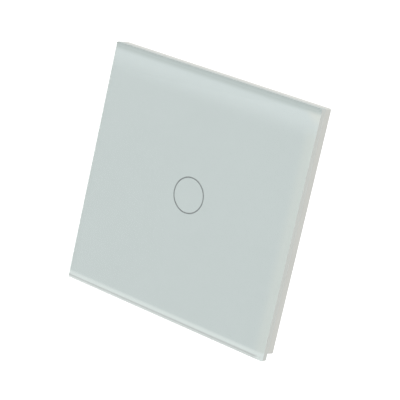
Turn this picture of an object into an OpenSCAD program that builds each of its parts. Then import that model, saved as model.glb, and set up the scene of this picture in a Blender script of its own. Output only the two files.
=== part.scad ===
// Touch light switch: a square glass panel that clips on a mounting plate,
// with a capacitive touch board, a relay board and screw terminals behind it.
// Each piece is drawn lying on its back: x right, y up, z out of the wall.
// stand_up() then turns it so that Z is up and the glass faces -Y.

/* [Glass panel] */
// Side of the square glass panel
panel_side = 86; // [84:0.5:92]
// Thickness of the glass
glass_t = 3; // [2.5:0.1:5]
// Width of the ground bevel round the front of the glass
glass_bevel = 1; // [0.4:0.1:1.2]
// Corner radius of the glass
panel_corner_r = 0.5; // [0.3:0.1:4]
// Thickness of the white enamel fired on the back of the glass
enamel_t = 0.1; // [0.1:0.05:0.4]
// Outer diameter of the printed touch ring
ring_d = 12.6; // [11:0.1:15]
// Line width of the printed touch ring
ring_line = 0.45; // [0.3:0.05:0.8]
// How far the ring's middle lies to the right of the panel's middle
ring_right = -0.4; // [-4:0.1:4]
// How far the ring's middle lies above the panel's middle
ring_up = 0.6; // [-4:0.1:4]
// Thickness of the foam tape between glass and frame
tape_t = 0.2; // [0.2:0.1:0.8]
// How far the foam tape stays back from the frame's edges
tape_inset = 0.8; // [0.4:0.1:1.5]

/* [Panel frame] */
// Depth of the moulded frame behind the tape
frame_depth = 3.2; // [2.4:0.1:4]
// Thickness of the frame's outer wall
frame_wall = 2; // [1.2:0.1:2.5]
// Corner radius of the frame
frame_corner_r = 0.6; // [0.3:0.1:2]
// Thickness of the frame's web, to which the glass is taped
web_t = 1; // [0.8:0.1:1.2]
// Thickness of the rail that seats on the mounting plate
rail_t = 1.2; // [1:0.1:2]
// Step of the frame above the glass's lower edge, for prying the panel off
pry_step = 2.6; // [0.5:0.1:3.2]
// Thickness of the ribs that join the frame's wall to its rail
frame_rib_t = 1; // [0.8:0.1:1.5]

/* [Mounting plate] */
// Distance from the panel's edge to the edge of the square mounting plate
plate_inset = 5; // [3.5:0.1:6]
// Thickness of the mounting plate
plate_t = 2; // [1.8:0.1:3]
// Corner radius of the mounting plate
plate_corner_r = 3; // [1:0.5:5]
// Distance from the plate's edge to the panel's rail
seat_inset = 2; // [1:0.1:2.5]
// Distance between the wall box's screws
fixing_spacing = 60.3; // [60:0.1:61]
// Width of the slots for the wall box's screws
fixing_slot_w = 4; // [3.6:0.1:4.5]
// Length of those slots, end to end
fixing_slot_l = 7; // [6:0.1:8]
// Depth of the recess behind the plate that seats the housing
seat_recess = 0.6; // [0.4:0.1:0.8]
// Width of the bead round the light window
bead_w = 1.6; // [1:0.1:2.5]
// Height of that bead
bead_h = 0.8; // [0.4:0.1:1.2]

/* [Panel clips] */
// Thickness of the spring strip
clip_t = 0.4; // [0.3:0.05:0.5]
// Width of a clip
clip_w = 8; // [6:0.5:12]
// Distance of the clips from the panel's middle
clip_y = 20; // [16:0.5:26]
// Length of a clip's foot
clip_foot = 4.4; // [4:0.1:6]
// How far the bulge of a clip reaches into the rail
clip_bite = 0.3; // [0.2:0.05:0.4]
// Diameter of the stake that holds a clip's foot
stake_d = 1.5; // [1.2:0.1:2]

/* [Rear housing] */
// Outer width of the housing
housing_w = 48; // [47:0.5:52]
// Outer height of the housing
housing_h = 50; // [49:0.5:54]
// Wall of the housing
housing_wall = 1.6; // [1.2:0.1:2]
// Outer corner radius of the housing
housing_corner_r = 2.5; // [2:0.1:4]
// Diameter of the screw bosses in the corners
boss_d = 5; // [4.6:0.1:5.4]
// Thread diameter of the four housing screws
case_screw_d = 2.2; // [2:0.1:2.6]
// Length of the four housing screws under the head
case_screw_l = 9; // [7:0.5:12]
// Width of a vent slot
vent_w = 1.6; // [1:0.1:2]
// Length of a vent slot
vent_l = 14; // [8:0.5:18]

/* [Circuit boards] */
// Thickness of both circuit boards
board_t = 1.6; // [1.2:0.1:2]
// Depth of the touch board behind the wall face
touch_board_set = 1.2; // [1.2:0.1:2]
// Length of the pillars between the boards
pillar_l = 6.4; // [6:0.1:9]
// Diameter of those pillars
pillar_d = 4; // [3:0.1:5]
// Outer diameter of the touch spring
spring_d = 9.6; // [8:0.1:10]
// Wire diameter of the touch spring
spring_wire = 0.6; // [0.5:0.05:0.65]
// Free turns of the touch spring
spring_turns = 3; // [2:0.5:3]
// Wall of the light guide under the ring
guide_wall = 0.9; // [0.7:0.1:1.1]

/* [Terminals] */
// Distance between neighbouring terminals
terminal_pitch = 10; // [9.6:0.1:10.5]
// Diameter of the wire entry holes
wire_entry_d = 3.6; // [3:0.1:3.8]
// Thread diameter of the terminal screws
terminal_thread_d = 3; // [2.6:0.1:3.2]
// Head diameter of the terminal screws
terminal_head_d = 3.9; // [3.6:0.1:4.4]
// Travel of a clamp cage from open to shut
clamp_travel = 2.5; // [2:0.1:3]
// Height of the cage's threaded wall
cage_nut_t = 2; // [1.6:0.1:2.6]
// Wall of the cage's other sides
cage_wall = 0.9; // [0.7:0.1:1.2]

/* [Relay] */
// Length of the relay
relay_l = 17.8; // [17:0.1:18.6]
// Width of the relay
relay_w = 10.1; // [9.8:0.1:11]
// Height of the relay above its board
relay_h = 12.3; // [12:0.1:15]
// Diameter of the relay's bobbin
bobbin_d = 7.8; // [7:0.1:8]
// Turn of the relay's armature from open to pulled in, in degrees
armature_turn = 6; // [4:0.5:7]

/* [Hidden] */
$fn = 64;

// Clearances, the overlap that joins two shapes, and how far a cut runs past its face
fit = 0.2;
slack = 0.3;
turn_fit = 0.05;
merge = 0.05;
past = 1;

// Levels of the panel, out from the wall
frame_z = plate_t;
web_z = frame_z + frame_depth - web_t;
tape_z = frame_z + frame_depth;
enamel_z = tape_z + tape_t;
glass_z = enamel_z + enamel_t;

// Levels of the boards and the housing, back from the wall
touch_front_z = -touch_board_set;
touch_back_z = touch_front_z - board_t;
power_front_z = touch_back_z - pillar_l;
power_back_z = power_front_z - board_t;
housing_floor_z = power_back_z - relay_h - slack;
housing_back_z = housing_floor_z - housing_wall;

// Panel
panel_half = panel_side / 2;
plate_side = panel_side - 2 * plate_inset;
face_side = panel_side - 2 * glass_bevel;
inner_corner_r = 0.2;
face_corner_r = max(panel_corner_r - glass_bevel, inner_corner_r);
rail_out = plate_side / 2 - seat_inset;
rail_in = rail_out - rail_t;
frame_ribs = 5;
rib_step = 2 * rail_in / (frame_ribs + 1);

// Light window
guide_out_d = ring_d + guide_wall;
guide_in_d = guide_out_d - 2 * guide_wall;
guide_mid_r = (guide_out_d + guide_in_d) / 4;
guide_flange_w = 1.4;
guide_flange_t = 1;
window_d = guide_out_d + 2 * fit;

// Clips
clip_gap = 0.6;
clip_face = rail_in - clip_gap;
clip_back = clip_face - clip_t;
clip_tip = rail_in + clip_bite;
clip_bulge_z = (frame_z + web_z) / 2;
clip_bulge_half = 0.4;
clip_bend = clip_t * norm([clip_tip - clip_face, clip_bulge_half]) / clip_bulge_half;
clip_top_z = web_z + web_t / 2;
groove_half = clip_bulge_half + fit;
groove_deep = clip_bite + fit;
groove_floor = 0.1;

// Housing and its screws
inside_w = housing_w - 2 * housing_wall;
inside_h = housing_h - 2 * housing_wall;
boss_sunk = 0.5;
boss_x = inside_w / 2 - boss_d / 2 + boss_sunk;
boss_y = inside_h / 2 - boss_d / 2 + boss_sunk;
board_w = inside_w - 2 * slack;
board_h = inside_h - 2 * slack;
notch = boss_d - boss_sunk;
rim_t = 1.2;
shelf_w = 4;
shelf_reach = 3;
shelf_in = 11.4;
shelf_y = inside_h / 2 - shelf_in;
vents = 5;
vent_step = 2 * vent_w;
vent_y = 10;
case_thread = 0.2;
case_core_d = case_screw_d - 2 * case_thread;
case_head_d = 2 * case_screw_d;
case_head_t = 1.2;
case_recess = (plate_t - seat_recess) / 2;
case_seat_z = plate_t - case_recess;
cross_l = 2.4;
cross_w = 0.6;
pillar_x = board_w / 2 - pillar_d / 2 - slack;
pillar_in = 14;
pillar_y = board_h / 2 - pillar_in;

// Terminals: depths are counted in from the block's rear face
terminals = 3;
head_depth = 0.8;
head_t = 1.6;
head_slot_w = 0.8;
head_slot_t = 0.8;
shoulder_depth = head_depth + head_t;
shoulder_t = 1;
cavity_depth = shoulder_depth + shoulder_t;
cage_open_depth = cavity_depth + turn_fit + clamp_travel;
bar_depth = cage_open_depth + cage_nut_t + 2 * fit;
bar_t = 0.8;
wire_depth = bar_depth + bar_t + turn_fit + wire_entry_d / 2;
cage_floor_depth = wire_depth + wire_entry_d / 2 + turn_fit;
cavity_end_depth = cage_floor_depth + cage_wall + fit;
block_floor_t = 1.2;
block_depth = cavity_end_depth + block_floor_t;
block_back_z = power_back_z - block_depth;
bore_side = 0.3;
cage_in_w = wire_entry_d + 2 * bore_side;
cage_w = cage_in_w + 2 * cage_wall;
cage_l = 5;
cage_h = cage_floor_depth + cage_wall - cage_open_depth;
cavity_w = cage_w + 2 * fit;
cavity_l = cage_l + 2 * slack;
entry_wall = 2.7;
block_side = 0.5;
block_w = terminals * terminal_pitch + 2 * block_side;
block_low = -housing_h / 2;
cage_y = block_low + entry_wall + cavity_l / 2;
bar_w = cage_in_w - 2 * fit;
tail_t = 0.8;
tail_wall = 1;
tail_reach = cavity_l / 2 + 2 * tail_wall;
block_high = cage_y + tail_reach + tail_t + tail_wall;
screw_tip_depth = bar_depth - fit;

// Places behind the power board: rows stacked up from the terminals, columns in from the shelves
part_gap = 1.2;
row_gap = 2.4;
column_end = inside_w / 2 - shelf_reach - part_gap;
first_row = block_high + row_gap;
relay_at = [relay_l / 2 - column_end, first_row + relay_w / 2];

// Relay: its own x runs along its length, and its z is the height above the board
relay_base_t = 1.6;
relay_wall = 0.7;
inside_half_l = relay_l / 2 - relay_wall;
yoke_t = 1;
yoke_w = 7;
yoke_gap = 0.3;
yoke_z = relay_base_t;
yoke_x = inside_half_l - fit - yoke_t;
core_d = 3.2;
core_x = yoke_x - yoke_gap - bobbin_d / 2;
pole_d = 5;
pole_t = 0.5;
bobbin_wall = 0.5;
bobbin_in_d = core_d + 2 * turn_fit;
bobbin_waist_d = bobbin_in_d + 2 * bobbin_wall;
flange_t = 0.6;
bobbin_z = yoke_z + yoke_t;
armature_t = 0.8;
blade_t = 0.2;
blade_w = 4;
blade_z = relay_h - relay_wall - slack - blade_t;
armature_z = blade_z - armature_t;
pole_z = armature_z - turn_fit - (yoke_x - core_x + pole_d / 2) * tan(armature_turn);
bobbin_h = pole_z - pole_t - turn_fit - bobbin_z;
yoke_top = armature_z - turn_fit;
contact_d = 2;
contact_t = 0.8;
contact_x = -inside_half_l + 3 * fit + contact_d / 2;
contact_low = contact_x - contact_d / 2;
contact_drop = (yoke_x - contact_low) * tan(armature_turn);
fixed_top = blade_z - contact_t - contact_drop - turn_fit;
post_t = 0.6;
post_top = fixed_top - contact_t;
pin_d = 0.8;
pin_past = 0.8;
pin_inset = [1.4, 1.65];
pin_x = relay_l / 2 - pin_inset.x;
pin_y = relay_w / 2 - pin_inset.y;
relay_pin_xy = [[-pin_x, -pin_y], [-pin_x, pin_y], [pin_x, -pin_y], [pin_x, pin_y], [0, pin_y]];

// Other parts on the boards: the size of each, and its middle seen from the front
capacitor_size = [13, 6, 11];
capacitor_at = [column_end - capacitor_size.x / 2, first_row + capacitor_size.y / 2];
smoothing_r = 4;
smoothing_at = [smoothing_r - column_end, relay_at.y + relay_w / 2 + row_gap + smoothing_r];
smoothing_h = 11;
crimp_z = 1.4;
crimp = 0.4;
choke_d = 8;
choke_h = 9;
choke_flange_t = 1.4;
choke_waist_d = 4;
varistor_d = 9;
varistor_t = 3.4;
varistor_lift = 1;
varistor_at = [capacitor_at.x, capacitor_at.y + capacitor_size.y / 2 + row_gap + varistor_t / 2];
fuse_d = 8.4;
fuse_h = 7.4;
fuse_lift = 0.8;
fuse_at = [capacitor_at.x, varistor_at.y + varistor_t / 2 + row_gap + fuse_d / 2];
middle_x = (smoothing_at.x + smoothing_r + fuse_at.x - fuse_d / 2) / 2;
choke_at = [middle_x, smoothing_at.y];
lead_d = 0.8;
lead_gap = 5;
bridge_size = [8.3, 6.2, 3.2];
bridge_at = [middle_x, board_h / 2 - part_gap - bridge_size.y / 2];
header_l = 13;
header_w = 5;
header_in = 7.1;
header_at = [10, header_in - board_h / 2];
header_pins_n = 5;
header_pitch = 2.54;
header_pin_w = 0.64;
header_pin_foot = 1;
header_strip_t = 2;
socket_h = pillar_l - header_strip_t - fit;
socket_floor = header_pin_foot - fit;
chip_at = [-9, 10];
chip_size = [5, 4, 1.5];
led_size = [1.2, 2, 0.7];
small_part = [2, 1.25, 0.6];
small_parts = 4;
small_step = 3.2;
small_at = [-14, -6];

// Helpers

module stand_up() rotate([90, 0, 0]) children();

module at_x(x) translate([x, 0, 0]) children();

module at_z(z) translate([0, 0, z]) children();

module at_xy(p) translate([p.x, p.y, 0]) children();

module at_ring() at_xy([ring_right, ring_up]) children();

module at_corners(x, y) for (sx = [-1, 1], sy = [-1, 1]) translate([sx * x, sy * y, 0]) children();

module box(w, l, h) translate([-w / 2, -l / 2, 0]) cube([w, l, h]);

module rect(w, h) square([w, h], center = true);

module rounded_rect(w, h, r) {
  rect(w - 2 * r, h);
  rect(w, h - 2 * r);
  at_corners(w / 2 - r, h / 2 - r) circle(r);
}

// A part soldered behind the power board grows away from the viewer
module behind_power_board(p) at_xy(p) at_z(power_back_z) mirror([0, 0, 1]) children();

// Panel: glass, enamel, ring, tape and frame move as one

module glass_panel() color("azure", 0.6) stand_up() at_z(glass_z) hull() {
  linear_extrude(glass_t - glass_bevel) rounded_rect(panel_side, panel_side, panel_corner_r, $fn = 32);
  linear_extrude(glass_t) rounded_rect(face_side, face_side, face_corner_r, $fn = 32);
}

module ring_outline() at_ring() difference() {
  circle(d = ring_d);
  circle(d = ring_d - 2 * ring_line);
}

module back_enamel() color("whitesmoke") stand_up() at_z(enamel_z) linear_extrude(enamel_t) difference() {
  rounded_rect(panel_side, panel_side, panel_corner_r);
  ring_outline();
}

module touch_ring() color("slategray") stand_up() at_z(enamel_z) linear_extrude(enamel_t) ring_outline();

module frame_outline(inset) translate([0, pry_step / 2])
  rounded_rect(panel_side - 2 * inset, panel_side - pry_step - 2 * inset,
               max(frame_corner_r - inset, inner_corner_r));

module glass_tape() color("gainsboro") stand_up() at_z(tape_z) linear_extrude(tape_t) difference() {
  frame_outline(tape_inset);
  rect(2 * (rail_in + tape_inset), 2 * (rail_in + tape_inset));
}

// Ribs across the channel on one side, from the rail to the wall whose outer face is at reach
module frame_ribs_on(side_angle, reach) rotate(side_angle)
  for (i = [1 : frame_ribs])
    translate([rail_out - merge, i * rib_step - rail_in - frame_rib_t / 2, frame_z])
      cube([reach - frame_wall - rail_out + 2 * merge, frame_rib_t, web_z - frame_z + merge]);

module at_clips() for (side = [0, 1], sy = [-1, 1])
  mirror([side, 0, 0]) translate([0, sy * clip_y, 0]) children();

module clip_groove() translate([rail_in, 0, clip_bulge_z]) rotate([90, 0, 0])
  linear_extrude(clip_w + 2 * slack, center = true)
    polygon([[-past, -groove_half], [0, -groove_half], [groove_deep, -groove_floor],
             [groove_deep, groove_floor], [0, groove_half], [-past, groove_half]]);

module panel_frame() color("gainsboro") stand_up() difference() {
  union() {
    at_z(web_z) linear_extrude(web_t) difference() {
      frame_outline(0);
      rect(2 * rail_in, 2 * rail_in);
    }
    at_z(frame_z) linear_extrude(frame_depth - web_t + merge) difference() {
      frame_outline(0);
      frame_outline(frame_wall);
    }
    at_z(frame_z) linear_extrude(frame_depth - web_t + merge) difference() {
      rect(2 * rail_out, 2 * rail_out);
      rect(2 * rail_in, 2 * rail_in);
    }
    for (side_angle = [0, 90, 180]) frame_ribs_on(side_angle, panel_half);
    frame_ribs_on(-90, panel_half - pry_step);
  }
  at_clips() clip_groove();
}

// Mounting plate and what stands on it

module at_fixings() for (s = [-1, 1]) at_x(s * fixing_spacing / 2) children();

module fixing_slot() linear_extrude(plate_t + 2 * past) {
  rect(fixing_slot_l - fixing_slot_w, fixing_slot_w);
  for (s = [-1, 1]) at_x(s * (fixing_slot_l - fixing_slot_w) / 2) circle(d = fixing_slot_w);
}

module clip_pocket() translate([clip_face - clip_foot - turn_fit, -clip_w / 2 - turn_fit, plate_t - clip_t])
  cube([clip_foot + clip_gap, clip_w + 2 * turn_fit, past]);

module at_stake() translate([clip_face - clip_foot / 2 - clip_t, 0, plate_t - clip_t]) children();

module locating_rim() at_z(touch_front_z) linear_extrude(touch_board_set + seat_recess + merge) difference() {
  rect(board_w, board_h);
  rect(board_w - 2 * rim_t, board_h - 2 * rim_t);
  at_corners(board_w / 2, board_h / 2) rect(2 * notch, 2 * notch);
}

module front_plate() color("white") stand_up() {
  difference() {
    union() {
      linear_extrude(plate_t) rounded_rect(plate_side, plate_side, plate_corner_r);
      at_ring() at_z(plate_t - merge) cylinder(d = window_d + 2 * bead_w, h = bead_h + merge);
    }
    at_z(-past) linear_extrude(past + seat_recess) rect(housing_w + 2 * fit, housing_h + 2 * fit);
    at_ring() at_z(-past) cylinder(d = window_d, h = plate_t + bead_h + 2 * past);
    at_fixings() at_z(-past) fixing_slot();
    at_clips() clip_pocket();
    at_corners(boss_x, boss_y) {
      cylinder(d = case_screw_d + 2 * fit, h = plate_t + past);
      at_z(case_seat_z) cylinder(d = case_head_d + 2 * fit, h = plate_t);
    }
  }
  locating_rim();
  at_clips() at_stake() at_z(-merge) cylinder(d = stake_d, h = 2 * clip_t + merge);
}

// One strip bent up from its foot, with a bulge that snaps into the rail
module clip_profile() polygon([
  [clip_face - clip_foot, plate_t - clip_t], [clip_face, plate_t - clip_t],
  [clip_face, clip_bulge_z - clip_bulge_half], [clip_tip, clip_bulge_z],
  [clip_face, clip_bulge_z + clip_bulge_half], [clip_face, clip_top_z], [clip_back, clip_top_z],
  [clip_back, clip_bulge_z + clip_bulge_half], [clip_tip - clip_bend, clip_bulge_z],
  [clip_back, clip_bulge_z - clip_bulge_half], [clip_back, plate_t], [clip_face - clip_foot, plate_t]]);

module panel_clips() color("silver") stand_up() at_clips() difference() {
  rotate([90, 0, 0]) linear_extrude(clip_w, center = true) clip_profile();
  at_stake() at_z(-past) cylinder(d = stake_d + 2 * turn_fit, h = clip_t + 2 * past);
}

module case_screws() color("silver") stand_up() at_corners(boss_x, boss_y) at_z(case_seat_z) difference() {
  union() {
    cylinder(d = case_head_d, h = case_head_t);
    at_z(-case_screw_l) cylinder(d = case_core_d, h = case_screw_l + merge);
  }
  at_z(case_head_t / 2) for (a = [0, 90]) rotate(a) box(cross_l, cross_w, case_head_t);
}

module at_leds() for (a = [0, 180]) rotate(a) translate([guide_mid_r, 0, touch_front_z]) children();

module light_guide() color("lightcyan", 0.7) stand_up() at_ring() difference() {
  at_z(touch_front_z) {
    cylinder(d = guide_out_d, h = enamel_z - slack - touch_front_z);
    cylinder(d = guide_out_d + 2 * guide_flange_w, h = guide_flange_t);
  }
  at_z(touch_front_z - past) cylinder(d = guide_in_d, h = enamel_z - touch_front_z + past);
  at_leds() at_z(-past) box(led_size.x + 2 * fit, led_size.y + 2 * fit, past + led_size.z + fit);
}

// Touch spring: one wire swept round its turns, with a closer turn at each end
wire_r = spring_wire / 2;
spring_r = spring_d / 2 - wire_r;
spring_low = touch_front_z + wire_r;
spring_rise = enamel_z - turn_fit - wire_r - spring_low;
end_gap = 0.45;
end_rise = spring_wire + end_gap;
turn_rise = (spring_rise - 2 * end_rise) / spring_turns;
all_turns = spring_turns + 2;
turn_rings = 8;
wire_sides = 6;
wire_rings = round(all_turns * turn_rings);
function lift(t) =
  t <= 1 ? end_rise * t
  : t >= all_turns - 1 ? spring_rise - end_rise * (all_turns - t)
  : end_rise + turn_rise * (t - 1);
function wire_centre(t) = [spring_r * cos(360 * t), spring_r * sin(360 * t), spring_low + lift(t)];
function wire_point(t, k) =
  let (turn = 360 * t, around = 360 * k / wire_sides)
  wire_centre(t) + wire_r * [cos(turn) * cos(around), sin(turn) * cos(around), sin(around)];
centres = [for (i = [0 : wire_rings]) wire_centre(i / turn_rings)];
neighbour_gaps = [for (i = [0 : wire_rings - turn_rings], j = [i + turn_rings / 2 : wire_rings])
  norm(centres[j] - centres[i]) - spring_wire];
echo(least_gap_of_spring_wire = min(neighbour_gaps));

module touch_spring() color("gold") stand_up() at_ring() {
  last = wire_rings * wire_sides;
  points = [for (i = [0 : wire_rings], k = [0 : wire_sides - 1]) wire_point(i / turn_rings, k)];
  sides = [for (i = [0 : wire_rings - 1], k = [0 : wire_sides - 1])
    let (a = i * wire_sides + k, b = i * wire_sides + (k + 1) % wire_sides)
    each [[a, b, b + wire_sides], [a, b + wire_sides, a + wire_sides]]];
  low_end = [for (k = [1 : wire_sides - 2]) [0, k + 1, k]];
  high_end = [for (k = [1 : wire_sides - 2]) [last, last + k, last + k + 1]];
  polyhedron(points, concat(sides, low_end, high_end));
}

// Boards and the parts on them

module board_outline() difference() {
  rect(board_w, board_h);
  at_corners(board_w / 2, board_h / 2) rect(2 * notch, 2 * notch);
}

module touch_board() color("darkgreen") stand_up() at_z(touch_back_z) linear_extrude(board_t) board_outline();

module touch_chip() color("dimgray") stand_up() at_xy(chip_at) at_z(touch_back_z - chip_size.z)
  box(chip_size.x, chip_size.y, chip_size.z);

module indicator_leds() color("ivory") stand_up() at_ring() at_leds()
  box(led_size.x, led_size.y, led_size.z);

module touch_board_parts() color("tan") stand_up() for (i = [0 : small_parts - 1])
  at_xy(small_at + [0, i * small_step]) at_z(touch_back_z - small_part.z)
    box(small_part.x, small_part.y, small_part.z);

module at_header_pins() for (i = [0 : header_pins_n - 1])
  at_x((i - (header_pins_n - 1) / 2) * header_pitch) children();

module header_pins() color("black") stand_up() at_xy(header_at) {
  at_z(touch_back_z - header_strip_t) box(header_l, header_w, header_strip_t);
  at_header_pins() at_z(power_front_z + header_pin_foot)
    box(header_pin_w, header_pin_w, pillar_l - header_pin_foot - merge);
}

module header_socket() color("black") stand_up() at_xy(header_at) at_z(power_front_z) difference() {
  box(header_l, header_w, socket_h);
  at_header_pins() at_z(socket_floor) box(header_pin_w + 2 * fit, header_pin_w + 2 * fit, socket_h);
}

module board_pillars() color("white") stand_up()
  at_corners(pillar_x, pillar_y) at_z(power_front_z) difference() {
    cylinder(d = pillar_d, h = pillar_l);
    at_z(-past) cylinder(d = pillar_d / 2, h = pillar_l + 2 * past);
  }

module power_board() color("darkgreen") stand_up() difference() {
  at_z(power_back_z) linear_extrude(board_t) board_outline();
  at_xy(relay_at) at_z(power_back_z - past) for (p = relay_pin_xy) at_xy(p)
    cylinder(d = pin_d + 2 * fit, h = board_t + 2 * past);
}

module supply_capacitor() color("gold") stand_up() behind_power_board(capacitor_at)
  box(capacitor_size.x, capacitor_size.y, capacitor_size.z);

module smoothing_capacitor() color("midnightblue") stand_up() behind_power_board(smoothing_at)
  rotate_extrude() polygon([
    [0, 0], [smoothing_r, 0], [smoothing_r, crimp_z - crimp], [smoothing_r - crimp, crimp_z],
    [smoothing_r, crimp_z + crimp], [smoothing_r, smoothing_h - crimp],
    [smoothing_r - crimp, smoothing_h], [0, smoothing_h]]);

module choke_core() color("dimgray") stand_up() behind_power_board(choke_at) {
  for (z = [0, choke_h - choke_flange_t]) at_z(z) cylinder(d = choke_d, h = choke_flange_t);
  cylinder(d = choke_waist_d, h = choke_h);
}

module choke_winding() color("peru") stand_up() behind_power_board(choke_at) difference() {
  at_z(choke_flange_t + turn_fit)
    cylinder(d = choke_d - 2 * slack, h = choke_h - 2 * choke_flange_t - 2 * turn_fit);
  cylinder(d = choke_waist_d + 2 * turn_fit, h = choke_h);
}

module leads(h) for (s = [-1, 1]) at_x(s * lead_gap / 2) cylinder(d = lead_d, h = h);

module varistor() color("royalblue") stand_up() behind_power_board(varistor_at) {
  at_z(varistor_lift + varistor_d / 2) rotate([90, 0, 0])
    cylinder(d = varistor_d, h = varistor_t, center = true);
  leads(varistor_d / 2);
}

module fuse() color("saddlebrown") stand_up() behind_power_board(fuse_at) {
  at_z(fuse_lift) cylinder(d = fuse_d, h = fuse_h);
  leads(fuse_lift + merge);
}

module bridge_rectifier() color("black") stand_up() behind_power_board(bridge_at)
  box(bridge_size.x, bridge_size.y, bridge_size.z);

// Terminals: a screw held in the block draws its cage up against the bar

module at_terminal(i)
  translate([(i - (terminals + 1) / 2) * terminal_pitch, cage_y, block_back_z]) children();

module bar_solid(gap) {
  translate([-bar_w / 2 - gap, -cage_l / 2, bar_depth - gap])
    cube([bar_w + 2 * gap, cage_l / 2 + tail_reach + tail_t + gap, bar_t + 2 * gap]);
  translate([-bar_w / 2 - gap, tail_reach - gap, bar_depth - gap])
    cube([bar_w + 2 * gap, tail_t + 2 * gap, block_depth - bar_depth + gap]);
}

module terminal_hollow() {
  at_z(-past) cylinder(d = terminal_head_d + 2 * fit, h = past + shoulder_depth);
  cylinder(d = terminal_thread_d + 2 * fit, h = cavity_depth + past);
  at_z(cavity_depth) box(cavity_w, cavity_l, cavity_end_depth - cavity_depth);
  at_z(wire_depth) rotate([90, 0, 0]) cylinder(d = wire_entry_d, h = cage_y - block_low + past);
  bar_solid(turn_fit);
}

module terminal_block() color("dimgray") stand_up() difference() {
  translate([-block_w / 2, block_low, block_back_z]) cube([block_w, block_high - block_low, block_depth]);
  for (i = [1 : terminals]) at_terminal(i) terminal_hollow();
}

module terminal_bars() color("goldenrod") stand_up() for (i = [1 : terminals]) at_terminal(i) bar_solid(0);

module terminal_cage(i) color("goldenrod") stand_up() at_terminal(i) at_z(cage_open_depth) difference() {
  box(cage_w, cage_l, cage_h);
  at_z(cage_nut_t) box(cage_in_w, cage_l + 2 * past, cage_h - cage_nut_t - cage_wall);
  at_z(-past) cylinder(d = terminal_thread_d, h = cage_nut_t + 2 * past);
}

module terminal_screw(i) color("silver") stand_up() at_terminal(i) at_z(head_depth) difference() {
  union() {
    cylinder(d = terminal_head_d, h = head_t);
    cylinder(d = terminal_thread_d - 2 * turn_fit, h = screw_tip_depth - head_depth);
  }
  at_z(-past) box(terminal_head_d + past, head_slot_w, past + head_slot_t);
}

// Relay: the coil's core pulls the armature down, and its blade meets the fixed contact

module in_relay() stand_up() behind_power_board(relay_at) children();

module relay_base() color("black") in_relay() difference() {
  box(relay_l, relay_w, relay_base_t);
  for (p = relay_pin_xy) at_xy(p) at_z(-past) cylinder(d = pin_d + 2 * turn_fit, h = relay_base_t + 2 * past);
}

module relay_cover() color("royalblue") in_relay() difference() {
  at_z(relay_base_t) box(relay_l, relay_w, relay_h - relay_base_t);
  box(2 * inside_half_l, relay_w - 2 * relay_wall, relay_h - relay_wall);
}

module relay_pins() color("silver") in_relay() for (p = relay_pin_xy) at_xy(p)
  at_z(-board_t - pin_past) cylinder(d = pin_d, h = board_t + pin_past + relay_base_t);

module relay_yoke() color("lightgray") in_relay() difference() {
  translate([core_x - bobbin_d / 2, -yoke_w / 2, yoke_z]) {
    cube([yoke_x + yoke_t - core_x + bobbin_d / 2, yoke_w, yoke_t]);
    translate([yoke_x - core_x + bobbin_d / 2, 0, 0]) cube([yoke_t, yoke_w, yoke_top - yoke_z]);
  }
  at_x(core_x) cylinder(d = bobbin_in_d, h = bobbin_z + past);
}

module relay_core() color("gray") in_relay() at_x(core_x) {
  at_z(yoke_z) cylinder(d = core_d, h = pole_z - yoke_z);
  at_z(pole_z - pole_t) cylinder(d = pole_d, h = pole_t);
}

module relay_bobbin() color("white") in_relay() translate([core_x, 0, bobbin_z]) difference() {
  union() {
    cylinder(d = bobbin_waist_d, h = bobbin_h);
    for (z = [0, bobbin_h - flange_t]) at_z(z) cylinder(d = bobbin_d, h = flange_t);
  }
  at_z(-past) cylinder(d = bobbin_in_d, h = bobbin_h + 2 * past);
}

module relay_coil() color("peru") in_relay()
  translate([core_x, 0, bobbin_z + flange_t + turn_fit]) difference() {
    cylinder(d = bobbin_d - 2 * fit, h = bobbin_h - 2 * flange_t - 2 * turn_fit);
    at_z(-past) cylinder(d = bobbin_waist_d + 2 * turn_fit, h = bobbin_h + past);
  }

module relay_armature() color("lightgray") in_relay()
  translate([contact_x + contact_d, -yoke_w / 2, armature_z])
    cube([yoke_x + yoke_t - contact_x - contact_d, yoke_w, armature_t]);

module relay_blade() color("orange") in_relay() {
  translate([contact_low, -blade_w / 2, blade_z]) cube([yoke_x + yoke_t - contact_low, blade_w, blade_t]);
  translate([contact_x, 0, blade_z - contact_t]) cylinder(d = contact_d, h = contact_t + merge);
}

module relay_fixed_contact() color("orange") in_relay() {
  translate([contact_low, -blade_w / 2, relay_base_t]) cube([post_t, blade_w, post_top - relay_base_t]);
  translate([contact_low, -blade_w / 2, post_top - post_t]) cube([contact_d, blade_w, post_t]);
  translate([contact_x, 0, post_top - merge]) cylinder(d = contact_d - fit, h = contact_t + merge);
}

// Housing

module housing_shell() difference() {
  at_z(housing_back_z) linear_extrude(seat_recess - housing_back_z)
    rounded_rect(housing_w, housing_h, housing_corner_r);
  at_z(housing_floor_z) linear_extrude(past + seat_recess - housing_floor_z) rect(inside_w, inside_h);
}

module board_shelves() for (side = [0, 1], sy = [-1, 1]) mirror([side, 0, 0])
  translate([inside_w / 2 - shelf_reach, sy * shelf_y - shelf_w / 2, housing_floor_z - merge])
    cube([shelf_reach + merge, shelf_w, power_back_z - housing_floor_z + merge]);

module terminal_opening() translate([-block_w / 2 - slack, -housing_h / 2 - past, housing_back_z - past])
  cube([block_w + 2 * slack, block_high + slack + housing_h / 2 + past,
        power_back_z + slack - housing_back_z + past]);

module vent_slots() for (i = [0 : vents - 1])
  translate([0, vent_y + (i - (vents - 1) / 2) * vent_step, housing_back_z - past])
    box(vent_l, vent_w, housing_wall + 2 * past);

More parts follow.
